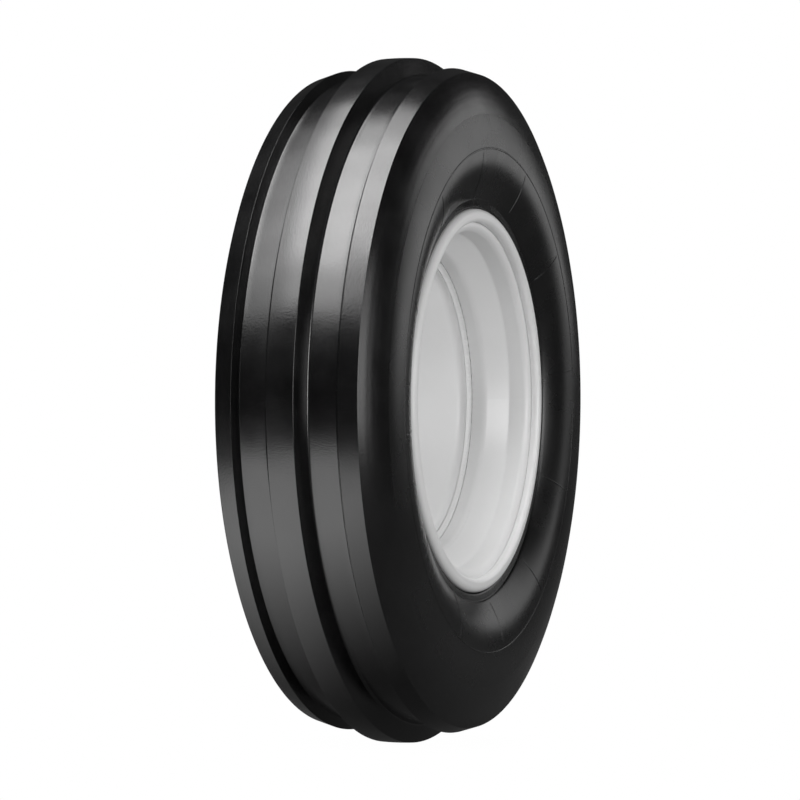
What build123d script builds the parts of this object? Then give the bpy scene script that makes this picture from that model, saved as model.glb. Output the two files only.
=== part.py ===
from build123d import *
import os
from math import radians, sqrt, tan

# A three-rib implement tyre with its tube, mounted on a drop-centre steel disc wheel.
# Millimetres. The wheel axis is Y, the outboard face looks towards -Y, +Z is up, and the
# origin is the centre of the wheel.
# Ring sections are drawn in Plane.XY, where X is the radius and Y the distance along the
# axis. The half with Y above 0 is drawn, mirrored and revolved about the axis.

# Tyre, outside
tyre_outer_diameter = 805.2
centre_rib_width = 31.8
centre_rib_camber = 1.9
centre_rib_flank = 8.6
groove_depth = 22.3
channel_depth = 1.5
channel_flank = 3.0
channel_width = 4.0
shoulder_rib_inner_edge = 63.1
shoulder_rib_height = 8.9
shoulder_rib_flank = 6.1
shoulder_rib_width = 20.5
shoulder_rib_fall = 6.2
buttress_height = 48.0
buttress_spread = 13.5
section_width = 211.8
widest_drop = 38.0
bead_ring_rise = 12.0
bead_ring_overhang = 11.8

# Tyre, inside
undertread = 5.0
breaker_thickness = 2.5
breaker_width = 104.0
casing_shoulder_width = 124.0
casing_shoulder_drop = 30.0
casing_edge_width = 178.0
side_rubber = 5.0
ply_thickness = 5.5
turnup_thickness = 3.0
bead_core_width = 9.0
bead_core_height = 10.0
filler_height = 26.0
filler_lean = 16.0
chafer_thickness = 2.0
chafer_height = 12.0
heel_relief = 0.6
flange_nose_gap = 0.5

# Inner tube
tube_wall = 3.0
tube_clearance = 0.3
tube_foot_width = 58.0

# Rim, 16 inch drop centre, 6.00 inch between flanges
rim_width = 152.4
bead_seat_diameter = 405.6
bead_seat_angle = 5.0
bead_seat_width = 21.6
flange_height = 22.2
flange_curl_radius = 7.0
flange_lip_drop = 9.0
lip_bend_radius = 4.9
lip_gap = 0.5
heel_radius = 3.0
ledge_radius = 8.0
well_depth = 19.7
well_bottom_width = 59.2
well_bend_radius = 8.0
rim_sheet = 4.2

# Disc, a pressing with its skirt welded inside the well
disc_thickness = 7.0
skirt_edge = 9.5
skirt_length = 12.0
skirt_bend_radius = 16.0
hub_face_inset = 45.0
hub_flat_diameter = 210.0
hub_bend_radius = 20.0
hub_bore_diameter = 117.0
bolt_circle_diameter = 152.4
bolt_count = 6
bolt_hole_diameter = 17.5
bolt_seat_diameter = 22.0
bolt_seat_angle = 60.0
weld_leg = 6.0

# Valve, through the well on the side of -X, pointing at the wheel axis
valve_offset = 21.5
valve_hole_diameter = 11.5
valve_base_diameter = 34.0
valve_base_thickness = 2.2
valve_base_trim = 4.0
stem_diameter = 11.0
stem_tip_diameter = 9.4
stem_straight = 12.0
stem_length = 27.0
insert_diameter = 6.6
thread_diameter = 7.7
thread_length = 11.0
air_bore_diameter = 3.0
core_chamber_diameter = 4.6
core_chamber_depth = 17.0
core_clearance = 0.03
core_body_length = 4.5
core_neck_diameter = 3.2
core_neck_length = 2.5
core_bore_diameter = 2.0
core_recess = 7.5
pin_diameter = 1.4
pin_head_diameter = 3.6
pin_head_thickness = 1.0
pin_head_recess = 0.8
pin_cup_diameter = 2.8
pin_cup_thickness = 1.0
pin_seal_diameter = 3.8
pin_seal_thickness = 1.6
spring_wire_diameter = 0.35
spring_coil_diameter = 2.7
spring_turns = 3
cap_diameter = 10.4
cap_skirt_gap = 0.6
cap_crown = 2.0
cap_clearance = 0.06
cap_seal_thickness = 1.2
face_gap = 0.05

os.makedirs("parts", exist_ok=True)

# Radii that several pieces share
crown_radius = tyre_outer_diameter / 2
groove_radius = crown_radius - groove_depth
seat_radius = bead_seat_diameter / 2
flange_radius = seat_radius + flange_height
wall_offset = rim_width / 2
seat_slope = tan(radians(bead_seat_angle))


def seat_at(offset):
    """Radius of the tapered bead seat at a distance from the centre plane."""
    return seat_radius - (wall_offset - offset) * seat_slope


# Corners of the tyre section that its layers share, as (radius, offset)
rib_edge = (crown_radius - centre_rib_camber, centre_rib_width / 2)
groove_inner = (groove_radius, rib_edge[1] + centre_rib_flank)
channel_outer = (groove_radius - channel_depth, shoulder_rib_inner_edge - shoulder_rib_flank)
channel_inner = (channel_outer[0], channel_outer[1] - channel_width)
groove_outer = (groove_radius, channel_inner[1] - channel_flank)
shoulder_inner = (groove_radius + shoulder_rib_height, shoulder_rib_inner_edge)
shoulder_outer = (shoulder_inner[0] - shoulder_rib_fall, shoulder_inner[1] + shoulder_rib_width)
tread_edge = (shoulder_outer[0] - buttress_height, shoulder_outer[1] + buttress_spread)
widest = (tread_edge[0] - widest_drop, section_width / 2)
bead_ring = (flange_radius + bead_ring_rise, wall_offset + bead_ring_overhang)

curl_offset = wall_offset + flange_curl_radius
curl_radius_at = flange_radius - flange_curl_radius
nose_reach = (flange_curl_radius + flange_nose_gap) * sqrt(2)
nose_wall = (curl_radius_at + nose_reach - flange_curl_radius, wall_offset)
nose_tip = (nose_wall[0] + flange_curl_radius + flange_nose_gap, curl_offset + flange_nose_gap)

casing_radius = groove_radius - undertread - breaker_thickness
core_base = seat_radius + chafer_thickness + turnup_thickness
core_top = core_base + bead_core_height
core_outside = wall_offset - chafer_thickness - turnup_thickness
core_inside = core_outside - bead_core_width
filler_tip = (core_top + filler_height, core_inside + filler_lean)
ply_foot = core_base - turnup_thickness
leg_inside = core_inside - ply_thickness
toe_offset = leg_inside - chafer_thickness
casing_points = [
    (casing_radius, casing_shoulder_width / 2),
    (casing_radius - casing_shoulder_drop, casing_edge_width / 2),
    (widest[0], widest[1] - side_rubber),
    filler_tip,
    (core_top, core_inside),
]
well_radius = seat_at(wall_offset - bead_seat_width) - well_depth
well_corner = (well_radius, well_bottom_width / 2)
ledge_corner = (seat_at(wall_offset - bead_seat_width), wall_offset - bead_seat_width)


# The whole tyre section inside its outer surface, down to the bead seats
with BuildSketch() as tyre_outline:
    with BuildLine():
        TangentArc((crown_radius, 0), rib_edge, tangent=(0, 1))
        Polyline(
            rib_edge, groove_inner, groove_outer, channel_inner, channel_outer,
            shoulder_inner, shoulder_outer, tread_edge,
        )
        ThreePointArc(tread_edge, widest, bead_ring)
        Polyline(
            bead_ring,
            nose_tip,
            nose_wall,
            (seat_radius, wall_offset),
            (seat_at(toe_offset), toe_offset),
            (seat_at(toe_offset), 0),
            (crown_radius, 0),
        )
    make_face()
    mirror(about=Plane.XZ)

# Everything inside the outer face of the plies
with BuildSketch() as casing_outline:
    with BuildLine():
        Polyline(
            (casing_radius, 0),
            *casing_points,
            (well_radius, core_inside),
            (well_radius, 0),
            (casing_radius, 0),
        )
    make_face()
    mirror(about=Plane.XZ)

# Everything inside the inner face of the plies
with BuildSketch() as cavity_outline:
    offset(casing_outline.sketch, amount=-ply_thickness, kind=Kind.INTERSECTION)

with BuildSketch() as bead_core_section:
    with BuildLine():
        Polyline(
            (core_base, core_inside),
            (core_base, core_outside),
            (core_top, core_outside),
            (core_top, core_inside),
            close=True,
        )
    make_face()

with BuildSketch() as filler_section:
    with BuildLine():
        Polyline((core_top, core_inside), (core_top, core_outside), filler_tip, close=True)
    make_face()

with BuildSketch() as bead_bundle:
    add(bead_core_section.sketch)
    add(filler_section.sketch)

# The plies run from bead to bead and are turned up round each core and filler
with BuildSketch() as ply_section:
    add(casing_outline.sketch)
    add(cavity_outline.sketch, mode=Mode.SUBTRACT)
    with Locations(((well_radius + ply_foot) / 2, 0)):
        Rectangle(ply_foot - well_radius, section_width, mode=Mode.SUBTRACT)
    with BuildSketch(mode=Mode.PRIVATE) as turnup:
        offset(bead_bundle.sketch, amount=turnup_thickness, kind=Kind.INTERSECTION)
        mirror(about=Plane.XZ)
    add(turnup.sketch)
    with BuildSketch(mode=Mode.PRIVATE) as bundles:
        add(bead_bundle.sketch)
        mirror(about=Plane.XZ)
    add(bundles.sketch, mode=Mode.SUBTRACT)

with BuildPart() as carcass_plies:
    add(ply_section.sketch)
    revolve(axis=Axis.Y)
carcass_plies.part.label = "carcass_plies"
export_step(carcass_plies.part, "parts/carcass_plies.step")


def write_pair(name, section):
    """Revolve a section into the inboard ring, mirror it for the outboard one, write both."""
    with BuildPart() as inboard:
        add(section)
        revolve(axis=Axis.Y)
    inboard.part.label = name + "_inboard"
    export_step(inboard.part, "parts/" + name + "_inboard.step")
    with BuildPart() as outboard:
        add(inboard.part)
        mirror(about=Plane.XZ, mode=Mode.REPLACE)
    outboard.part.label = name + "_outboard"
    export_step(outboard.part, "parts/" + name + "_outboard.step")


write_pair("bead_core", bead_core_section.sketch)
write_pair("bead_filler", filler_section.sketch)

# The chafer wraps the bead where it bears on the rim
with BuildSketch() as chafer_block:
    with BuildLine():
        FilletPolyline(
            (seat_at(toe_offset), toe_offset),
            (seat_radius, wall_offset),
            (seat_radius + chafer_height, wall_offset),
            radius=heel_radius + heel_relief,
        )
        Polyline(
            (seat_radius + chafer_height, wall_offset),
            (seat_radius + chafer_height, toe_offset),
            (seat_at(toe_offset), toe_offset),
        )
    make_face()
with BuildSketch() as chafer_section:
    add(chafer_block.sketch)
    with BuildLine():
        Polyline(
            (ply_foot, leg_inside),
            (ply_foot, core_outside + turnup_thickness),
            (seat_radius + chafer_height, core_outside + turnup_thickness),
            (seat_radius + chafer_height, leg_inside),
            close=True,
        )
    make_face(mode=Mode.SUBTRACT)
write_pair("chafer", chafer_section.sketch)

with BuildSketch() as breaker_section:
    with Locations((casing_radius + breaker_thickness / 2, 0)):
        Rectangle(breaker_thickness, breaker_width)
with BuildPart() as breaker:
    add(breaker_section.sketch)
    revolve(axis=Axis.Y)
breaker.part.label = "breaker"
export_step(breaker.part, "parts/breaker.step")

with BuildPart() as tread:
    with BuildSketch() as tread_section:
        add(tyre_outline.sketch)
        add(casing_outline.sketch, mode=Mode.SUBTRACT)
        add(breaker_section.sketch, mode=Mode.SUBTRACT)
        with Locations((tread_edge[0] / 2, 0)):
            Rectangle(tread_edge[0], 2 * section_width, mode=Mode.SUBTRACT)
    revolve(axis=Axis.Y)
tread.part.label = "tread"
export_step(tread.part, "parts/tread.step")

with BuildSketch() as sidewall_section:
    with BuildLine():
        Polyline((well_radius, 0), (tread_edge[0], 0), tread_edge)
        ThreePointArc(tread_edge, widest, bead_ring)
        Polyline(
            bead_ring, nose_tip, nose_wall, (seat_radius + chafer_height, wall_offset),
            (seat_radius + chafer_height, core_inside), (well_radius, core_inside), (well_radius, 0),
        )
    make_face()
    add(casing_outline.sketch, mode=Mode.SUBTRACT)
    add(ply_section.sketch, mode=Mode.SUBTRACT)
    add(bead_bundle.sketch, mode=Mode.SUBTRACT)
write_pair("sidewall", sidewall_section.sketch)

# The tube fills the casing and bridges from the bead legs to the well
tube_foot = well_radius + valve_base_thickness + 2 * tube_clearance
tube_lean = (core_top - tube_foot, toe_offset - tube_foot_width / 2)
with BuildSketch() as tube_outline:
    offset(cavity_outline.sketch, amount=-tube_clearance, kind=Kind.INTERSECTION)
    with BuildLine():
        Polyline(
            (tube_foot, tube_foot_width / 2),
            (tube_foot + 2 * tube_lean[0], tube_foot_width / 2 + 2 * tube_lean[1]),
            (crown_radius, section_width),
            (crown_radius, -section_width),
            (tube_foot + 2 * tube_lean[0], -tube_foot_width / 2 - 2 * tube_lean[1]),
            (tube_foot, -tube_foot_width / 2),
            close=True,
        )
    make_face(mode=Mode.INTERSECT)

valve_plane = Plane(origin=(-tube_foot, -valve_offset, 0))
valve_axis = Axis((-tube_foot, -valve_offset, 0), (1, 0, 0))
stem_section_plane = Plane(origin=(-tube_foot, -valve_offset, 0), x_dir=(0, 1, 0), z_dir=(1, 0, 0))

with BuildPart() as inner_tube:
    with BuildSketch() as tube_section:
        add(tube_outline.sketch)
        offset(
            tube_outline.sketch, amount=-tube_wall, kind=Kind.INTERSECTION, mode=Mode.SUBTRACT
        )
    revolve(axis=Axis.Y)
    with BuildSketch(stem_section_plane.offset(-2 * tube_wall)):
        Circle(insert_diameter / 2)
    extrude(amount=4 * tube_wall, mode=Mode.SUBTRACT)
inner_tube.part.label = "inner_tube"
export_step(inner_tube.part, "parts/inner_tube.step")

# Rolled rim. Each flange is curled over, and its lip is turned back against the flange.
with BuildPart() as rim_barrel:
    with BuildSketch():
        with BuildLine():
            FilletPolyline(
                (well_radius, 0),
                well_corner,
                ledge_corner,
                (seat_radius, wall_offset),
                (curl_radius_at, wall_offset),
                radius=[well_bend_radius, ledge_radius, heel_radius],
            )
            ThreePointArc(
                (curl_radius_at, wall_offset),
                (flange_radius, curl_offset),
                (curl_radius_at, curl_offset + flange_curl_radius),
            )
            FilletPolyline(
                (curl_radius_at, curl_offset + flange_curl_radius),
                (curl_radius_at - flange_lip_drop, curl_offset + flange_curl_radius),
                (curl_radius_at - flange_lip_drop, wall_offset + rim_sheet + lip_gap),
                radius=lip_bend_radius,
            )
            offset(amount=rim_sheet, side=Side.LEFT)
        make_face()
        mirror(about=Plane.XZ)
    revolve(axis=Axis.Y)
    with BuildSketch(stem_section_plane):
        Circle(valve_hole_diameter / 2)
    extrude(amount=well_radius / 2, mode=Mode.SUBTRACT)
rim_barrel.part.label = "rim_barrel"
export_step(rim_barrel.part, "parts/rim_barrel.step")

# Disc pressing. Its offsets are along +Y, so the outboard skirt edge is negative.
skirt_radius = well_radius - rim_sheet
hub_plane = Plane(origin=(0, hub_face_inset - disc_thickness, 0), x_dir=(1, 0, 0), z_dir=(0, -1, 0))
with BuildPart() as wheel_disc:
    with BuildSketch():
        with BuildLine():
            FilletPolyline(
                (skirt_radius, -skirt_edge),
                (skirt_radius, skirt_length - skirt_edge),
                (hub_flat_diameter / 2, hub_face_inset),
                (hub_bore_diameter / 2, hub_face_inset),
                radius=[skirt_bend_radius, hub_bend_radius],
            )
            offset(amount=disc_thickness, side=Side.LEFT)
        make_face()
    revolve(axis=Axis.Y)
    with Locations(hub_plane):
        with PolarLocations(bolt_circle_diameter / 2, bolt_count, start_angle=90):
            CounterSinkHole(
                radius=bolt_hole_diameter / 2,
                counter_sink_radius=bolt_seat_diameter / 2,
                counter_sink_angle=bolt_seat_angle,
                depth=disc_thickness,
            )
wheel_disc.part.label = "wheel_disc"
export_step(wheel_disc.part, "parts/wheel_disc.step")

with BuildPart() as disc_weld:
    with BuildSketch():
        with BuildLine():
            Polyline(
                (skirt_radius, -skirt_edge),
                (skirt_radius, -skirt_edge - weld_leg),
                (skirt_radius - weld_leg, -skirt_edge),
                close=True,
            )
        make_face()
    revolve(axis=Axis.Y)
disc_weld.part.label = "disc_weld"
export_step(disc_weld.part, "parts/disc_weld.step")

# The valve. Its sections are drawn with X as the distance from the tube towards the wheel
# axis and Y as the radius from the valve's own axis.
stem_hole = insert_diameter / 2
insert_length = stem_length + thread_length
chamber_start = insert_length - core_chamber_depth
body_end = insert_length - core_recess
body_start = body_end - core_body_length
pin_end = insert_length - pin_head_recess
seal_start = body_start - pin_seal_thickness - face_gap
core_outer = core_chamber_diameter / 2 - core_clearance


def turned(*points):
    """Draw this closed section beside the valve's axis and turn it about the axis."""
    with BuildSketch(valve_plane) as section:
        with BuildLine():
            Polyline(*points, close=True)
        make_face()
    revolve(section.sketch, axis=valve_axis)


# Rubber stem with its base vulcanised to the tube; the base is trimmed where the well ends
with BuildPart() as valve_stem:
    with BuildSketch():
        with Locations((well_radius + tube_clearance + valve_base_thickness / 2, 0)):
            Rectangle(valve_base_thickness, well_bottom_width - 2 * valve_base_trim)
    revolve(axis=Axis.Y)
    with BuildSketch(stem_section_plane.offset(-valve_base_diameter / 2)):
        Circle(valve_base_diameter / 2)
    extrude(amount=valve_base_diameter, mode=Mode.INTERSECT)
    turned(
        (tube_clearance + valve_base_thickness / 2, 0),
        (tube_clearance + valve_base_thickness / 2, stem_diameter / 2),
        (stem_straight, stem_diameter / 2),
        (stem_length, stem_tip_diameter / 2),
        (stem_length, 0),
    )
    with BuildSketch(stem_section_plane):
        Circle(stem_hole)
    extrude(amount=stem_length, both=True, mode=Mode.SUBTRACT)
valve_stem.part.label = "valve_stem"
export_step(valve_stem.part, "parts/valve_stem.step")

# The brass insert reaches through the tube's wall and ends in the threaded nose
with BuildPart() as valve_insert:
    turned(
        (-tube_wall, air_bore_diameter / 2),
        (-tube_wall, insert_diameter / 2),
        (stem_length, insert_diameter / 2),
        (stem_length, thread_diameter / 2),
        (insert_length, thread_diameter / 2),
        (insert_length, core_chamber_diameter / 2),
        (chamber_start, core_chamber_diameter / 2),
        (chamber_start - core_chamber_diameter / 2, air_bore_diameter / 2),
    )
valve_insert.part.label = "valve_insert"
export_step(valve_insert.part, "parts/valve_insert.step")

# The core screws into the nose; its neck carries a seal that fills the chamber
neck_end = body_start + core_neck_length
with BuildPart() as valve_core_body:
    turned(
        (body_start, core_bore_diameter / 2),
        (body_start, core_neck_diameter / 2),
        (neck_end, core_neck_diameter / 2),
        (neck_end, core_outer),
        (body_end, core_outer),
        (body_end, core_bore_diameter / 2),
    )
valve_core_body.part.label = "valve_core_body"
export_step(valve_core_body.part, "parts/valve_core_body.step")

with BuildPart() as valve_core_seal:
    turned(
        (body_start, core_neck_diameter / 2),
        (body_start, core_outer),
        (neck_end, core_outer),
        (neck_end, core_neck_diameter / 2),
    )
valve_core_seal.part.label = "valve_core_seal"
export_step(valve_core_seal.part, "parts/valve_core_seal.step")

# The pin's cup holds a rubber washer against the body until the head is pressed in
with BuildPart() as valve_pin:
    turned(
        (seal_start - pin_cup_thickness, 0),
        (seal_start - pin_cup_thickness, pin_cup_diameter / 2),
        (seal_start, pin_cup_diameter / 2),
        (seal_start, pin_diameter / 2),
        (pin_end - pin_head_thickness, pin_diameter / 2),
        (pin_end - pin_head_thickness, pin_head_diameter / 2),
        (pin_end, pin_head_diameter / 2),
        (pin_end, 0),
    )
valve_pin.part.label = "valve_pin"
export_step(valve_pin.part, "parts/valve_pin.step")

with BuildPart() as valve_pin_seal:
    turned(
        (seal_start, pin_diameter / 2),
        (seal_start, pin_seal_diameter / 2),
        (seal_start + pin_seal_thickness, pin_seal_diameter / 2),
        (seal_start + pin_seal_thickness, pin_diameter / 2),
    )
valve_pin_seal.part.label = "valve_pin_seal"
export_step(valve_pin_seal.part, "parts/valve_pin_seal.step")

# The spring stands on the body and pushes the head out
spring_start = body_end + spring_wire_diameter / 2 + face_gap
spring_room = pin_end - pin_head_thickness - body_end - spring_wire_diameter - 2 * face_gap
with BuildPart() as valve_spring:
    with BuildLine():
        coil = Helix(
            spring_room / spring_turns,
            spring_room,
            spring_coil_diameter / 2,
            center=valve_plane.from_local_coords((spring_start, 0, 0)),
            direction=(1, 0, 0),
        )
    with BuildSketch(Plane(origin=coil @ 0, z_dir=coil % 0)):
        RegularPolygon(spring_wire_diameter / 2, side_count=6)
    sweep(is_frenet=True)
valve_spring.part.label = "valve_spring"
export_step(valve_spring.part, "parts/valve_spring.step")

# Cap with its sealing washer, screwed over the nose
cap_start = stem_length + cap_skirt_gap
cap_floor = insert_length + face_gap + cap_seal_thickness
with BuildPart() as valve_cap:
    turned(
        (cap_start, thread_diameter / 2 + cap_clearance),
        (cap_start, cap_diameter / 2),
        (cap_floor, cap_diameter / 2),
        (cap_floor + cap_crown, cap_diameter / 2 - cap_crown),
        (cap_floor + cap_crown, 0),
        (cap_floor, 0),
        (cap_floor, thread_diameter / 2 + cap_clearance),
    )
valve_cap.part.label = "valve_cap"
export_step(valve_cap.part, "parts/valve_cap.step")

with BuildPart() as valve_cap_seal:
    turned(
        (insert_length + face_gap, 0),
        (insert_length + face_gap, thread_diameter / 2),
        (cap_floor, thread_diameter / 2),
        (cap_floor, 0),
    )
valve_cap_seal.part.label = "valve_cap_seal"
export_step(valve_cap_seal.part, "parts/valve_cap_seal.step")
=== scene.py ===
import math

import bmesh
import bpy
import numpy as np
from mathutils import Matrix, Vector


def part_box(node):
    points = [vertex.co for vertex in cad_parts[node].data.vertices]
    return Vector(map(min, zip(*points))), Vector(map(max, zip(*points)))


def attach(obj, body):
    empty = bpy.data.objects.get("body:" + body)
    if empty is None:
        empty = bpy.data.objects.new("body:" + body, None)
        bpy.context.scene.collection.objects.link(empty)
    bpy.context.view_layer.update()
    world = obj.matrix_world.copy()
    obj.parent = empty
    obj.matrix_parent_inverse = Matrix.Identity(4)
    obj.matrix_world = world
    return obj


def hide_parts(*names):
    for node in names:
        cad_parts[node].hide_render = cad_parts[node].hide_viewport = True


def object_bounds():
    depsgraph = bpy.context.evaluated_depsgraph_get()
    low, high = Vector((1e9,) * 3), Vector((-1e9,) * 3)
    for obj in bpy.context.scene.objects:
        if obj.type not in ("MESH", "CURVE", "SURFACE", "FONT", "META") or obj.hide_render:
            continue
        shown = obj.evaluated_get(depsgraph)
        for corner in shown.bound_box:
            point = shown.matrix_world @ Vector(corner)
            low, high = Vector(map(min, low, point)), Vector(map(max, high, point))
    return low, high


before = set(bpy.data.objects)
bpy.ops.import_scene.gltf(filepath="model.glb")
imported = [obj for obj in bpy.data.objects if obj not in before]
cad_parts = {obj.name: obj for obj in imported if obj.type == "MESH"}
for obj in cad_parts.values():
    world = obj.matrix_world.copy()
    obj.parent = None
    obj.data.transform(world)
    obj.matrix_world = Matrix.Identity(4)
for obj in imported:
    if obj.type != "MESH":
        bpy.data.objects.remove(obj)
cad_low, cad_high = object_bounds()

MM = 0.001
FULL_TURN = 2 * math.pi
EVEN_TURNS = np.linspace(0, FULL_TURN, 512, endpoint=False)

# Sizes that come from the frame, in millimetres
crown_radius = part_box("tread")[1].x / MM
section_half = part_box("sidewall_inboard")[1].y / MM


# Outlines and ring meshes

def dense(points, step):
    """The same outline with points added so that no gap is wider than step."""
    out = [points[0]]
    for a, b in zip(points, points[1:]):
        n = max(1, math.ceil(math.dist(a, b) / step))
        for i in range(1, n + 1):
            out.append((a[0] + (b[0] - a[0]) * i / n, a[1] + (b[1] - a[1]) * i / n))
    return out


def mirrored(points):
    """The same outline on the other side of the centre plane, run backwards."""
    return [(-offset, radius) for offset, radius in reversed(points)]


STRAIGHT = math.radians(89.5)
ROUNDING_SHARE = 0.48


def rounded(corners, steps=5):
    """An open outline from (point, rounding radius) pairs. Its ends and straight points stay."""
    out = [corners[0][0]]
    for (before, _), (corner, radius), (after, _) in zip(corners, corners[1:], corners[2:]):
        middle = Vector(corner)
        a = Vector(before) - middle
        b = Vector(after) - middle
        half = a.angle(b) / 2
        if radius <= 0 or half > STRAIGHT:
            out.append(corner)
            continue
        cut = min(radius / math.tan(half), ROUNDING_SHARE * a.length, ROUNDING_SHARE * b.length)
        start = middle + a.normalized() * cut
        end = middle + b.normalized() * cut
        for i in range(steps + 1):
            t = i / steps
            p = start * (1 - t) ** 2 + middle * 2 * t * (1 - t) + end * t ** 2
            out.append((p.x, p.y))
    out.append(corners[-1][0])
    return out


def crisp_normals(mesh):
    """Point normals weighted by face area, so that flats stay flat beside small roundings."""
    count = len(mesh.vertices)
    places = np.empty(count * 3)
    mesh.vertices.foreach_get("co", places)
    places = places.reshape(-1, 3)
    corners = np.empty(len(mesh.polygons) * 4, dtype=int)
    mesh.loops.foreach_get("vertex_index", corners)
    corners = corners.reshape(-1, 4)
    p = places[corners]
    cross = np.cross(p[:, 2] - p[:, 0], p[:, 3] - p[:, 1])
    size = np.linalg.norm(cross, axis=1, keepdims=True)
    total = np.zeros((count, 3))
    for i in range(4):
        np.add.at(total, corners[:, i], cross * size)
    total /= np.maximum(np.linalg.norm(total, axis=1, keepdims=True), 1e-20)
    mesh.normals_split_custom_set_from_vertices(total.tolist())


def link_object(name, data):
    """A new object in the scene."""
    piece = bpy.data.objects.new(name, data)
    bpy.context.scene.collection.objects.link(piece)
    return piece


def ring(name, outline, turn, side=-1, shape=None):
    """A closed ring about Y. The outline is (offset, radius) in millimetres, round the section."""
    s = np.array([p[0] for p in outline]) * MM * side
    r = np.array([p[1] for p in outline]) * MM
    segments = len(turn)
    offset = np.repeat(s[None, :], segments, axis=0)
    radius = np.repeat(r[None, :], segments, axis=0)
    if shape is not None:
        offset, radius = shape(turn[:, None], offset, radius)
    x = radius * np.cos(turn)[:, None]
    z = radius * np.sin(turn)[:, None]
    places = np.stack([x, offset, z], axis=2).reshape(-1, 3)
    n = len(outline)
    i = np.arange(segments)[:, None]
    j = np.arange(n)[None, :]
    a = i * n + j
    b = i * n + (j + 1) % n
    c = ((i + 1) % segments) * n + (j + 1) % n
    d = ((i + 1) % segments) * n + j
    faces = np.stack([a, b, c, d], axis=2).reshape(-1, 4)
    mesh = bpy.data.meshes.new(name)
    mesh.from_pydata(places.tolist(), [], faces.tolist())
    area = 0.5 * np.sum(s * np.roll(r, -1) - np.roll(s, -1) * r)
    if area > 0:
        mesh.flip_normals()
    mesh.polygons.foreach_set("use_smooth", np.ones(len(faces), dtype=bool))
    mesh.update()
    crisp_normals(mesh)
    return link_object(name, mesh)


def dress(piece, material, body, node):
    """Gives a new piece its material and its body, and hides the CAD node that it stands for."""
    piece.data.materials.append(material)
    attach(piece, body)
    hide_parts(node)


# Shader nodes

def new_material(name):
    """A material with its nodes, its links and its Principled shader."""
    material = bpy.data.materials.new(name)
    material.use_nodes = True
    nodes, links = material.node_tree.nodes, material.node_tree.links
    return material, nodes, links, nodes["Principled BSDF"]


def object_place(nodes):
    """The place in the piece's own space."""
    return nodes.new("ShaderNodeTexCoord").outputs["Object"]


def math_node(nodes, links, operation, *values):
    """The result of a Math node over sockets and plain numbers."""
    node = nodes.new("ShaderNodeMath")
    node.operation = operation
    for i, value in enumerate(values):
        if isinstance(value, (int, float)):
            node.inputs[i].default_value = value
        else:
            links.new(value, node.inputs[i])
    return node.outputs[0]


def vector_node(nodes, links, operation, source, other=(0, 0, 0)):
    """A Vector Math node over a socket and a plain vector."""
    node = nodes.new("ShaderNodeVectorMath")
    node.operation = operation
    links.new(source, node.inputs[0])
    node.inputs[1].default_value = other
    return node


def map_range(nodes, links, source, span, result, kind="LINEAR"):
    """A value carried from one range into another, and held at its ends."""
    node = nodes.new("ShaderNodeMapRange")
    node.interpolation_type = kind
    node.inputs["From Min"].default_value = span[0]
    node.inputs["From Max"].default_value = span[1]
    node.inputs["To Min"].default_value = result[0]
    node.inputs["To Max"].default_value = result[1]
    links.new(source, node.inputs["Value"])
    return node.outputs["Result"]


NOISE_SPAN = (0.3, 0.7)
BROAD_RATIO = 26


def blend_colours(nodes, links, source, low, high):
    """A texture's value carried into a blend of two colours."""
    node = nodes.new("ShaderNodeMapRange")
    node.data_type = "FLOAT_VECTOR"
    value, from_low, from_high, to_low, to_high = node.inputs[6:11]
    from_low.default_value = (NOISE_SPAN[0],) * 3
    from_high.default_value = (NOISE_SPAN[1],) * 3
    to_low.default_value = low
    to_high.default_value = high
    links.new(source, value)
    return node.outputs["Vector"]


def noise(nodes, links, place, scale):
    """Noise with four levels of detail."""
    node = nodes.new("ShaderNodeTexNoise")
    node.inputs["Scale"].default_value = scale
    node.inputs["Detail"].default_value = 4
    links.new(place, node.inputs["Vector"])
    return node.outputs["Fac"]


def add_bump(nodes, links, shader, source, strength, distance):
    """Fine height on a surface, in metres, over any height that it already has."""
    height = nodes.new("ShaderNodeBump")
    height.inputs["Strength"].default_value = strength
    height.inputs["Distance"].default_value = distance
    links.new(source, height.inputs["Height"])
    if shader.inputs["Normal"].is_linked:
        links.new(shader.inputs["Normal"].links[0].from_socket, height.inputs["Normal"])
    links.new(height.outputs["Normal"], shader.inputs["Normal"])


def surface_material(name, colours, roughness, grain, bump, gloss, metal=0.0):
    """A finish with fine grain in its height and slow variation in colour and roughness."""
    material, nodes, links, shader = new_material(name)
    place = object_place(nodes)
    fine = noise(nodes, links, place, grain)
    broad = noise(nodes, links, place, grain / BROAD_RATIO)
    links.new(map_range(nodes, links, broad, NOISE_SPAN, roughness), shader.inputs["Roughness"])
    links.new(blend_colours(nodes, links, broad, *colours), shader.inputs["Base Color"])
    add_bump(nodes, links, shader, fine, *bump)
    shader.inputs["Specular IOR Level"].default_value = gloss
    shader.inputs["Metallic"].default_value = metal
    return material


def wheel_polar(nodes, links):
    """The turn about the wheel's axis, in radians, and the distance from it, in metres."""
    place = object_place(nodes)
    split = nodes.new("ShaderNodeSeparateXYZ")
    links.new(place, split.inputs[0])
    turn = math_node(nodes, links, "ARCTAN2", split.outputs["Z"], split.outputs["X"])
    flat = vector_node(nodes, links, "MULTIPLY", place, (1, 0, 1)).outputs["Vector"]
    away = vector_node(nodes, links, "LENGTH", flat).outputs["Value"]
    return turn, away


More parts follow.
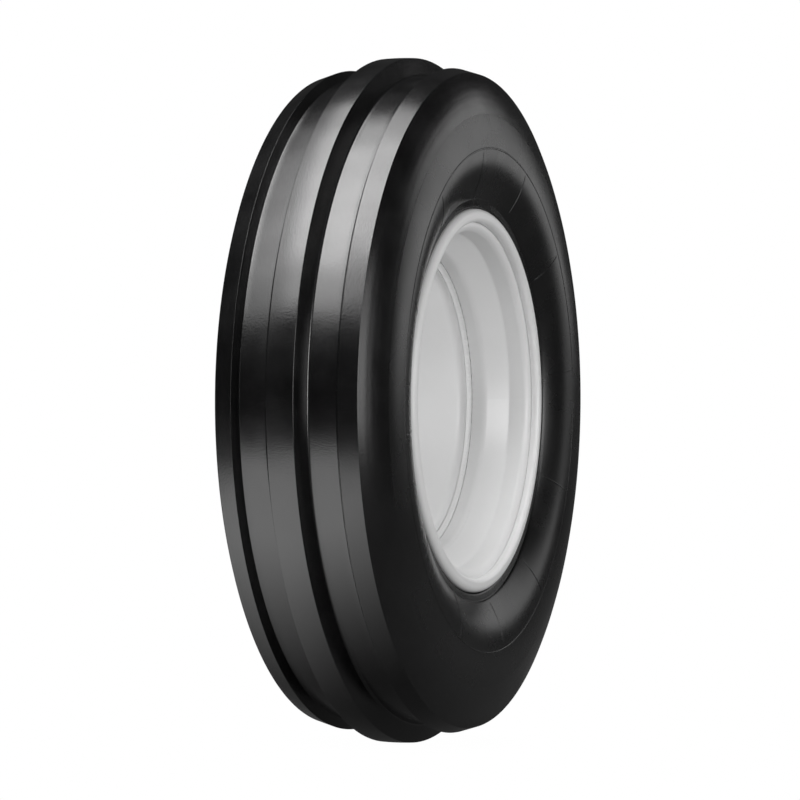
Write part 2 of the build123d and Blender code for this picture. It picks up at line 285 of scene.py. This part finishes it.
def add_serration(material, inner, outer, count, depth):
    """Fine radial teeth pressed into a band between two radii, in metres."""
    nodes, links = material.node_tree.nodes, material.node_tree.links
    turn, away = wheel_polar(nodes, links)
    wave = math_node(nodes, links, "SINE", math_node(nodes, links, "MULTIPLY", turn, float(count)))
    inside = math_node(nodes, links, "GREATER_THAN", away, inner)
    outside = math_node(nodes, links, "LESS_THAN", away, outer)
    band = math_node(nodes, links, "MULTIPLY", inside, outside)
    teeth = math_node(nodes, links, "MULTIPLY", wave, band)
    add_bump(nodes, links, nodes["Principled BSDF"], teeth, 0.6, depth)


def add_cords(material, pitch, bias):
    """Cords side by side under the rubber, laid across the turn at a bias."""
    nodes, links = material.node_tree.nodes, material.node_tree.links
    turned_place = nodes.new("ShaderNodeMapping")
    turned_place.inputs["Rotation"].default_value = (bias, 0.3, bias)
    links.new(object_place(nodes), turned_place.inputs["Vector"])
    weave = nodes.new("ShaderNodeTexWave")
    weave.inputs["Scale"].default_value = 1 / pitch
    weave.inputs["Distortion"].default_value = 0.4
    links.new(turned_place.outputs["Vector"], weave.inputs["Vector"])
    add_bump(nodes, links, nodes["Principled BSDF"], weave.outputs["Fac"], 0.5, 0.0005)


def black(value):
    """A near-black with a trace of blue, as carbon-filled rubber has."""
    return (value, value, value * 1.04)


# Materials. A bump is its strength and its height in metres, and grain is the scale of its noise.
RUBBER_GLOSS = 0.6
PLAIN_GLOSS = 0.5
CLOTH_GLOSS = 0.4

tread_rubber = surface_material(
    "tread_rubber_look", colours=(black(0.002), black(0.004)), roughness=(0.17, 0.25),
    grain=520, bump=(0.22, 0.0005), gloss=RUBBER_GLOSS)
side_rubber = surface_material(
    "side_rubber_look", colours=(black(0.002), black(0.004)), roughness=(0.24, 0.30),
    grain=430, bump=(0.10, 0.0004), gloss=RUBBER_GLOSS)
add_serration(side_rubber, inner=0.2285, outer=0.2345, count=420, depth=0.0006)
rim_paint = surface_material(
    "rim_paint_look", colours=((0.80, 0.80, 0.80), (0.84, 0.84, 0.84)), roughness=(0.30, 0.40),
    grain=260, bump=(0.08, 0.0004), gloss=PLAIN_GLOSS)
ply_cord = surface_material(
    "ply_cord_look", colours=((0.05, 0.045, 0.04), (0.09, 0.08, 0.07)), roughness=(0.55, 0.7),
    grain=600, bump=(0.3, 0.0004), gloss=CLOTH_GLOSS)
add_cords(ply_cord, pitch=0.012, bias=0.6)
bead_wire = surface_material(
    "bead_wire_look", colours=((0.38, 0.33, 0.26), (0.5, 0.45, 0.36)), roughness=(0.3, 0.45),
    grain=900, bump=(0.3, 0.0003), gloss=PLAIN_GLOSS, metal=1.0)
hard_rubber = surface_material(
    "hard_rubber_look", colours=(black(0.010), black(0.020)), roughness=(0.45, 0.6),
    grain=480, bump=(0.2, 0.0004), gloss=PLAIN_GLOSS)
chafer_cloth = surface_material(
    "chafer_cloth_look", colours=(black(0.012), black(0.022)), roughness=(0.6, 0.75),
    grain=700, bump=(0.3, 0.0004), gloss=CLOTH_GLOSS)
add_cords(chafer_cloth, pitch=0.009, bias=0.78)
tube_rubber = surface_material(
    "tube_rubber_look", colours=(black(0.010), black(0.018)), roughness=(0.36, 0.48),
    grain=200, bump=(0.10, 0.0006), gloss=RUBBER_GLOSS)
seal_rubber = surface_material(
    "seal_rubber_look", colours=(black(0.012), black(0.022)), roughness=(0.5, 0.6),
    grain=2400, bump=(0.15, 0.0001), gloss=PLAIN_GLOSS)
valve_brass = surface_material(
    "valve_brass_look", colours=((0.70, 0.52, 0.22), (0.82, 0.64, 0.30)), roughness=(0.22, 0.34),
    grain=2600, bump=(0.10, 0.00005), gloss=PLAIN_GLOSS, metal=1.0)
spring_steel = surface_material(
    "spring_steel_look", colours=((0.52, 0.52, 0.53), (0.66, 0.66, 0.67)), roughness=(0.22, 0.32),
    grain=3200, bump=(0.1, 0.00004), gloss=PLAIN_GLOSS, metal=1.0)
cap_plastic = surface_material(
    "cap_plastic_look", colours=(black(0.012), black(0.020)), roughness=(0.42, 0.52),
    grain=2200, bump=(0.2, 0.00008), gloss=PLAIN_GLOSS)


# Tyre section, in millimetres. A point of it is (offset from the centre plane, radius).
GROOVE_DEPTH = 22.3
TREAD_EDGE_DROP = 45.3
WIDEST_DROP = 38.0
SHOULDER_EDGE_OFFSET = 83.6
SHOULDER_EDGE_RISE = 2.7
RELIEF = 0.4
bead_ring = (88.0, 237.0)

groove_radius = crown_radius - GROOVE_DEPTH
tread_edge_radius = groove_radius - TREAD_EDGE_DROP
shoulder_edge = (SHOULDER_EDGE_OFFSET, groove_radius + SHOULDER_EDGE_RISE)
widest = (section_half - RELIEF, tread_edge_radius - WIDEST_DROP)


def wall_at(radius):
    """The outside of the wall at a radius: two arcs that meet at the widest point, upright there."""
    end = shoulder_edge if radius > widest[1] else bead_ring
    fall = widest[0] - end[0]
    reach = end[1] - widest[1]
    bulge = (fall ** 2 + reach ** 2) / (2 * fall)
    return widest[0] - bulge + math.sqrt(bulge ** 2 - (radius - widest[1]) ** 2), float(radius)


# The seam of tread and sidewall, and the casing's corners behind it. The first point lies just
# inside the seam, so that the hidden face there doesn't bend the shading of the outside.
SEAM_INSET = 0.3
seam = (wall_at(tread_edge_radius)[0] - SEAM_INSET, tread_edge_radius)
casing_edge = (91.0, tread_edge_radius)
casing_shoulder = (62.0, 372.9)


# Tread with three ribs. A rounding stands beside each corner.
RIB_HALF = 15.9
RIB_CAMBER = 0.45
GROOVE_START = 24.5
GROOVE_END = 52.8
GROOVE_CROWN = 650.0
CHANNEL_END = 57.0
CHANNEL_DEPTH = 1.6
SHOULDER_START = 63.1
SHOULDER_RISE = 8.9
TREAD_STEP = 4.0


def rib_top_at(share):
    """The centre rib's top, from its middle at 0 to its edge at 1."""
    return RIB_HALF * share, crown_radius - RIB_CAMBER * share ** 2


def groove_floor_at(share):
    """The groove's floor, from the rib's foot at 0 to the channel at 1."""
    offset = GROOVE_START + (GROOVE_END - GROOVE_START) * share
    return offset, groove_radius - (offset ** 2 - GROOVE_START ** 2) / (2 * GROOVE_CROWN)


def buttress_at(share):
    """The wall under the shoulder rib, from the rib's edge at 0 to the seam at 1."""
    return wall_at(shoulder_edge[1] + (tread_edge_radius - shoulder_edge[1]) * share)


def tread_outline():
    """The closed tread section: its outside from edge to edge, and back along the casing."""
    half = [(rib_top_at(t), 0) for t in (0, 0.3, 0.6, 0.85)]
    half += [(rib_top_at(1.0), 0.8), (groove_floor_at(0), 4.0)]
    half += [(groove_floor_at(t), 0) for t in (0.25, 0.5, 0.75, 1.0)]
    half += [
        ((CHANNEL_END, groove_radius - CHANNEL_DEPTH), 0.5),
        ((SHOULDER_START, groove_radius + SHOULDER_RISE), 0.3),
        (shoulder_edge, 0.7),
    ]
    half += [(buttress_at(t), 0) for t in (0.2, 0.4, 0.6, 0.8, 1.0)]
    outside = rounded(half)[1:]
    inside = [seam, casing_edge, casing_shoulder]
    return dense(mirrored(outside) + [(0, crown_radius)] + outside, TREAD_STEP) + inside + mirrored(inside)


tread = ring("tread_surface", tread_outline(), EVEN_TURNS)
dress(tread, tread_rubber, "wheel", "tread")


# Sidewalls, with their moulded outer ring and twelve radial mould lines
WALL_START = 238.5
WALL_STEP = 1.8
OUTER_RING = 295.0
RING_HALF = 1.0
RING_FLANK = 0.45
MOULD_LINES = [math.radians(7 + 30 * i) for i in range(12)]
LINE_HALF = 0.65
LINE_FLANK = 0.25
LINE_START = 240.0
LINE_END = OUTER_RING - 3.5
LINE_FADE = 2.5
LINE_MIDDLE = 270

# The wall's foot, from the bead ring down to the flange, and its inner side, back up to the seam
bead_face = [bead_ring, (87.2, 236.3), (86.2, 235.4), (86.4, 234.8), (84.9, 228.0), (83.7, 225.7)]
casing_face = [
    (78.0, 223.4), (76.2, 214.9), (74.3, 215.0), (76.0, 226.0), (100.3, 297.0), casing_edge, seam]


def trapezoid(distance, half, flank):
    """Height of a flat-topped ridge, from 0 to 1, at a distance from its middle."""
    return np.clip((half - np.abs(distance)) / flank, 0.0, 1.0)


def sidewall_outline():
    """The closed sidewall section, from the tread's edge down to the flange and back inside."""
    radii = [OUTER_RING + d for d in (-1.2, -0.9, -0.5, 0, 0.5, 0.9, 1.2)]
    radii += [LINE_START, LINE_START + LINE_FADE, LINE_END - LINE_FADE, LINE_END]
    radii += list(np.arange(WALL_START, tread_edge_radius, WALL_STEP))
    outside = [wall_at(r) for r in [tread_edge_radius] + sorted(set(radii), reverse=True)]
    return outside + bead_face + casing_face


def inside_wall(r):
    """The offset of a slanted line that parts the wall's outside from its hidden inner side."""
    return 60 + (r - 215) * 0.33


def wall_relief(turn, offset, radius):
    """Raises the outer ring and the radial mould lines from the wall's outside."""
    r = radius / MM
    is_outside = np.abs(offset) / MM > inside_wall(r)
    fade_in = np.clip((r - LINE_START) / LINE_FADE, 0, 1)
    fade_out = np.clip((LINE_END - r) / LINE_FADE, 0, 1)
    lines = np.zeros_like(r)
    for line in MOULD_LINES:
        away = (turn - line + math.pi) % FULL_TURN - math.pi
        lines = np.maximum(lines, trapezoid(away * r, LINE_HALF, LINE_FLANK) * (fade_in * fade_out))
    height = np.maximum(lines, trapezoid(r - OUTER_RING, RING_HALF, RING_FLANK))
    return offset + np.sign(offset) * height * is_outside * RELIEF * MM, radius


line_steps = (-0.8, -0.6, -0.4, 0, 0.4, 0.6, 0.8)
line_turns = [line + step / LINE_MIDDLE for line in MOULD_LINES for step in line_steps]
wall_turns = np.array(sorted(list(EVEN_TURNS) + line_turns))
for side, node in ((-1, "sidewall_outboard"), (1, "sidewall_inboard")):
    wall = ring(node + "_surface", sidewall_outline(), wall_turns, side, wall_relief)
    dress(wall, side_rubber, "wheel", node)


# Weld between the disc's skirt and the well: a hollow quarter round with the ripples of its passes
RIPPLES = 250
RIPPLE_STEPS = 6
RIPPLE_FADE = 1.5
RIPPLE_HEIGHT = 0.5
RIPPLE_BOW = 0.35
weld_low, weld_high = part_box("disc_weld")
weld_start = -weld_high.y / MM
weld_end = -weld_low.y / MM
weld_radius = weld_high.x / MM
weld_leg = weld_end - weld_start


def weld_outline():
    """The weld's section: two legs in the corner, and the hollow between them."""
    hollow = []
    for t in (0.26, 0.52, 0.79, 1.05, 1.31):
        offset = weld_start + weld_leg * (1 - math.sin(t))
        hollow.append((offset, weld_radius - weld_leg * (1 - math.cos(t))))
    corner = [(weld_start, weld_radius), (weld_end, weld_radius)]
    return corner + hollow + [(weld_start, weld_radius - weld_leg)]


def weld_ripples(turn, offset, radius):
    """Overlapping crescents along the weld's face."""
    off_well = np.clip((weld_radius - radius / MM) / RIPPLE_FADE, 0, 1)
    off_disc = np.clip((-offset / MM - weld_start) / RIPPLE_FADE, 0, 1)
    face = off_well * off_disc
    phase = (turn * RIPPLES / FULL_TURN + RIPPLE_BOW * face) % 1.0
    rise = (phase - 0.5) * RIPPLE_HEIGHT * face * MM
    return offset - rise, radius - rise


weld_turns = np.linspace(0, FULL_TURN, RIPPLES * RIPPLE_STEPS, endpoint=False)
weld = ring("weld_bead", weld_outline(), weld_turns, shape=weld_ripples)
dress(weld, rim_paint, "wheel", "disc_weld")


# Valve cap and the threaded nose under it, turned about the valve's own axis, in millimetres
cap_low, cap_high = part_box("valve_cap")
nose_low, nose_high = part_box("valve_insert")
valve_y = (cap_low.y + cap_high.y) / 2
valve_z = (cap_low.z + cap_high.z) / 2


def turned(name, outline, segments, shape):
    """A closed surface turned about the valve's axis. The outline is (x, radius) in millimetres."""
    turn = np.linspace(0, FULL_TURN, segments, endpoint=False)
    points, rows = [], []
    for x, r in outline:
        if r == 0:
            rows.append([len(points)] * segments)
            points.append((x * MM, valve_y, valve_z))
            continue
        rows.append(list(range(len(points), len(points) + segments)))
        for t, radius in zip(turn, shape(turn, x, r)):
            points.append(
                (x * MM, valve_y + radius * MM * math.cos(t), valve_z + radius * MM * math.sin(t)))
    runs_round = outline[0][1] != 0
    following = rows[1:] + rows[:1] if runs_round else rows[1:]
    faces = []
    for low, high in zip(rows, following):
        for i in range(segments):
            j = (i + 1) % segments
            faces.append(list(dict.fromkeys([low[i], low[j], high[j], high[i]])))
    mesh = bpy.data.meshes.new(name)
    mesh.from_pydata(points, [], faces)
    surface = bmesh.new()
    surface.from_mesh(mesh)
    bmesh.ops.recalc_face_normals(surface, faces=surface.faces)
    surface.to_mesh(mesh)
    surface.free()
    for face in mesh.polygons:
        face.use_smooth = True
    mesh.set_sharp_from_angle(angle=math.radians(35))
    return link_object(name, mesh)


CAP_BORE_RADIUS = 3.91
CAP_CROWN = 2.0
KNURLS = 28
KNURL_STEPS = 8
KNURL_DEPTH = 0.35
cap_start = cap_low.x / MM
cap_end = cap_high.x / MM
cap_floor = cap_end - CAP_CROWN
cap_radius = (cap_high.z - cap_low.z) / 2 / MM


def knurl(turn, x, r):
    """Grip flutes along the cap's skirt."""
    on_skirt = r > cap_radius - 0.2 and cap_start + 0.6 < x < cap_floor - 0.2
    depth = KNURL_DEPTH if on_skirt else 0.0
    return r - depth * (0.5 + 0.5 * np.cos(turn * KNURLS))


cap_outline = [
    (cap_floor, 0), (cap_floor, CAP_BORE_RADIUS),
    (cap_start + 0.3, CAP_BORE_RADIUS), (cap_start, CAP_BORE_RADIUS + 0.3),
    (cap_start, cap_radius - 0.4), (cap_start + 0.4, cap_radius), (cap_start + 1.0, cap_radius),
    (cap_start + 1.4, cap_radius), (cap_floor - 0.8, cap_radius), (cap_floor - 0.3, cap_radius),
    (cap_floor, cap_radius), (cap_end - 1.1, cap_radius - 0.5), (cap_end - 0.3, cap_radius - 1.5),
    (cap_end, cap_radius - 2.4), (cap_end, 0),
]
cap = turned("valve_cap_grip", cap_outline, KNURLS * KNURL_STEPS, knurl)
dress(cap, cap_plastic, "valve_cap", "valve_cap")


INSERT_RADIUS = 3.3
CHAMBER_RADIUS = 2.3
CHAMBER_DEPTH = 17.0
AIR_BORE_RADIUS = 1.5
NOSE_LENGTH = 11.0
THREAD_PITCH = 0.8
THREAD_DEPTH = 0.36
THREAD_STEP = 0.1
THREAD_RUNOUT = 0.3
NOSE_SEGMENTS = 40
insert_foot = nose_low.x / MM
nose_end = nose_high.x / MM
nose_start = nose_end - NOSE_LENGTH
chamber_end = nose_end - CHAMBER_DEPTH
thread_radius = (nose_high.z - nose_low.z) / 2 / MM


def thread(turn, x, r):
    """A fine screw thread cut into the nose."""
    if r < thread_radius or not nose_start + THREAD_RUNOUT < x < nose_end - THREAD_RUNOUT:
        return np.full(len(turn), float(r))
    phase = ((x - nose_start) / THREAD_PITCH - turn / FULL_TURN) % 1.0
    return r - THREAD_DEPTH * np.abs(phase * 2 - 1)


nose_outline = [
    (insert_foot, AIR_BORE_RADIUS), (insert_foot, INSERT_RADIUS),
    (nose_start, INSERT_RADIUS), (nose_start, thread_radius - 0.25)]
first_step = round(THREAD_RUNOUT / THREAD_STEP)
last_step = round((NOSE_LENGTH - THREAD_RUNOUT) / THREAD_STEP)
nose_outline += [
    (nose_start + THREAD_STEP * i, thread_radius) for i in range(first_step, last_step + 1)]
nose_outline += [
    (nose_end, thread_radius - 0.3), (nose_end, CHAMBER_RADIUS),
    (chamber_end, CHAMBER_RADIUS), (chamber_end - CHAMBER_RADIUS, AIR_BORE_RADIUS)]
nose = turned("valve_insert_threaded", nose_outline, NOSE_SEGMENTS, thread)
dress(nose, valve_brass, "wheel", "valve_insert")


# CAD nodes that keep their own shape
KEPT = {
    "rim_barrel": rim_paint,
    "wheel_disc": rim_paint,
    "breaker": ply_cord,
    "carcass_plies": ply_cord,
    "bead_core_outboard": bead_wire,
    "bead_core_inboard": bead_wire,
    "bead_filler_outboard": hard_rubber,
    "bead_filler_inboard": hard_rubber,
    "chafer_outboard": chafer_cloth,
    "chafer_inboard": chafer_cloth,
    "inner_tube": tube_rubber,
    "valve_stem": tube_rubber,
    "valve_core_body": valve_brass,
    "valve_core_seal": seal_rubber,
    "valve_pin": valve_brass,
    "valve_pin_seal": seal_rubber,
    "valve_spring": spring_steel,
    "valve_cap_seal": seal_rubber,
}
for name, material in KEPT.items():
    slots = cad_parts[name].data.materials
    slots.clear()
    slots.append(material)


# Camera, in metres and degrees. Azimuth 0 looks at the outboard side.
CAMERA_AZIMUTH = -69.269
CAMERA_ELEVATION = 0.517
CAMERA_DISTANCE = 4.7186
CAMERA_RIGHT = 0.0112
CAMERA_UP = 0.0004
PHOTO_FOCAL_PX = 4000
PHOTO_SIZE_PX = 800
SENSOR_WIDTH = 36.0


def direction(azimuth, elevation):
    """A direction from degrees round the wheel and above the floor. 0 is the outboard side."""
    a, e = math.radians(azimuth), math.radians(elevation)
    return math.sin(a) * math.cos(e), -math.cos(a) * math.cos(e), math.sin(e)


def add_camera():
    """The photograph's camera: almost level, far round to the side of the wheel."""
    back = Vector(direction(CAMERA_AZIMUTH, CAMERA_ELEVATION))
    turn = math.radians(CAMERA_AZIMUTH)
    right = Vector((math.cos(turn), math.sin(turn), 0))
    up = back.cross(right)
    data = bpy.data.cameras.new("camera")
    data.sensor_width = SENSOR_WIDTH
    data.lens = SENSOR_WIDTH * PHOTO_FOCAL_PX / PHOTO_SIZE_PX
    data.clip_end = 100
    camera = link_object("camera", data)
    camera.location = back * CAMERA_DISTANCE - right * CAMERA_RIGHT + up * CAMERA_UP
    camera.rotation_mode = "QUATERNION"
    camera.rotation_quaternion = (-back).to_track_quat("-Z", "Y")
    bpy.context.scene.camera = camera


# Floor, in metres. A pale pool in front of the tread lights it from below, and the floor glows to
# glossy rays by its pool tone, a painted reflection in the rubber. The rest is dark to the object.
FLOOR_REACH = 30.0
POOL_CENTRE = (-1.0, 0.3, cad_low.z)
POOL_EDGE = (0.4, 0.9)
# The pool tones set both the floor's base colour and the strength of its painted glow to glossy rays
POOL_TONES = (0.95, 0.05)
# The white that the camera sees falls off round the origin, a painted shade there over the real shadow
FOOT_EDGE = (0.1, 0.45)
FOOT_WHITES_PAINTED_SHADE = (0.88, 1.0)


def add_floor():
    """A floor that the camera sees as white, apart from a faint shade round the origin: its real shadow,
    and painted shade where the white falls off.
    """
    far, low = FLOOR_REACH, cad_low.z
    data = bpy.data.meshes.new("floor")
    corners = [(-far, -far, low), (far, -far, low), (far, far, low), (-far, far, low)]
    data.from_pydata(corners, [], [(0, 1, 2, 3)])
    floor = link_object("floor", data)
    material, nodes, links, shader = new_material("floor_look")
    path = nodes.new("ShaderNodeLightPath")
    place = object_place(nodes)
    from_pool = vector_node(nodes, links, "DISTANCE", place, POOL_CENTRE).outputs["Value"]
    pool = map_range(nodes, links, from_pool, POOL_EDGE, POOL_TONES, "SMOOTHSTEP")
    # Painted reflection: the floor glows to glossy rays only, brightest in the pool
    pool_reflected_glow = math_node(nodes, links, "MULTIPLY", path.outputs["Is Glossy Ray"], pool)
    links.new(pool, shader.inputs["Base Color"])
    links.new(pool_reflected_glow, shader.inputs["Emission Strength"])
    shader.inputs["Roughness"].default_value = 0.9
    shader.inputs["Specular IOR Level"].default_value = 0.0
    white = nodes.new("ShaderNodeEmission")
    white.inputs["Strength"].default_value = 1.0
    from_origin = vector_node(nodes, links, "LENGTH", place).outputs["Value"]
    white_share_with_painted_shade = map_range(nodes, links, from_origin, FOOT_EDGE, FOOT_WHITES_PAINTED_SHADE, "SMOOTHSTEP")
    share = math_node(nodes, links, "MULTIPLY", path.outputs["Is Camera Ray"], white_share_with_painted_shade)
    mix = nodes.new("ShaderNodeMixShader")
    links.new(share, mix.inputs["Fac"])
    links.new(shader.outputs[0], mix.inputs[1])
    links.new(white.outputs[0], mix.inputs[2])
    links.new(mix.outputs[0], nodes["Material Output"].inputs["Surface"])
    data.materials.append(material)


ROOM_LEVEL = 0.03


def background(nodes, strength):
    """A white background shader of the given strength."""
    node = nodes.new("ShaderNodeBackground")
    node.inputs["Color"].default_value = (1, 1, 1, 1)
    node.inputs["Strength"].default_value = strength
    return node.outputs[0]


def add_world():
    """White to the camera, and a dim room to the object."""
    world = bpy.data.worlds.new("studio")
    bpy.context.scene.world = world
    world.use_nodes = True
    nodes, links = world.node_tree.nodes, world.node_tree.links
    nodes.clear()
    path = nodes.new("ShaderNodeLightPath")
    mix = nodes.new("ShaderNodeMixShader")
    links.new(path.outputs["Is Camera Ray"], mix.inputs["Fac"])
    links.new(background(nodes, ROOM_LEVEL), mix.inputs[1])
    links.new(background(nodes, 1.0), mix.inputs[2])
    links.new(mix.outputs[0], nodes.new("ShaderNodeOutputWorld").inputs["Surface"])


# Lamps, in metres and degrees. Strengths are radiances, where 1 is white.
# The bank stands in rows over the tread. Each row has a box over the centre and one further inboard.
BANK_DISTANCE = 2.6
BANK_HEIGHT = 0.73
BANK_SIDES = (4.0, 27.0)
BANK_WIDTHS = (1.49, 0.64)
BANK_STRENGTHS = {
    36: (5.4, 2.8),
    52: (10.6, 3.4),
    68: (9.6, 2.8),
    84: (7.6, 2.0),
    100: (3.9, 0.9),
}

# Each side box has its azimuth, elevation, width, height and strength
SIDE_BOX_DISTANCE = 3.0
SIDE_BOXES = {
    "front_left": (-30, 7, 1.4, 1.3, 6.6),
    "front": (0, 7, 1.4, 1.3, 2.6),
    "right": (60, 12, 1.4, 1.2, 0.9),
}


def over_tread(row, side):
    """A direction over the tread: degrees up from the camera's side, and degrees towards inboard."""
    t, lat = math.radians(row), math.radians(side)
    return -math.cos(t) * math.cos(lat), math.sin(lat), math.sin(t) * math.cos(lat)


def add_softbox(name, away, distance, width, height, radiance):
    """A softbox in a direction from the wheel's centre. Its width lies along the wheel's axis."""
    away = Vector(away).normalized()
    data = bpy.data.lights.new(name, "AREA")
    data.shape = "RECTANGLE"
    data.size = width
    data.size_y = height
    data.energy = radiance * math.pi * width * height
    axis = Vector((0, 1, 0))
    across = (axis - away * axis.dot(away)).normalized()
    lamp = link_object(name, data)
    lamp.matrix_world = Matrix((across, away.cross(across), away)).transposed().to_4x4()
    lamp.location = away * distance


def add_lamps():
    """The bank over the tread, and the boxes that light the wheel from its sides."""
    for row, strengths in BANK_STRENGTHS.items():
        for band, (side, width, radiance) in enumerate(zip(BANK_SIDES, BANK_WIDTHS, strengths)):
            away = over_tread(row, side)
            add_softbox(f"bank_{row}_{band}", away, BANK_DISTANCE, width, BANK_HEIGHT, radiance)
    for name, (azimuth, elevation, width, height, radiance) in SIDE_BOXES.items():
        away = direction(azimuth, elevation)
        add_softbox("softbox_" + name, away, SIDE_BOX_DISTANCE, width, height, radiance)


add_camera()
add_floor()
add_world()
add_lamps()
bpy.context.scene.view_settings.view_transform = "Standard"
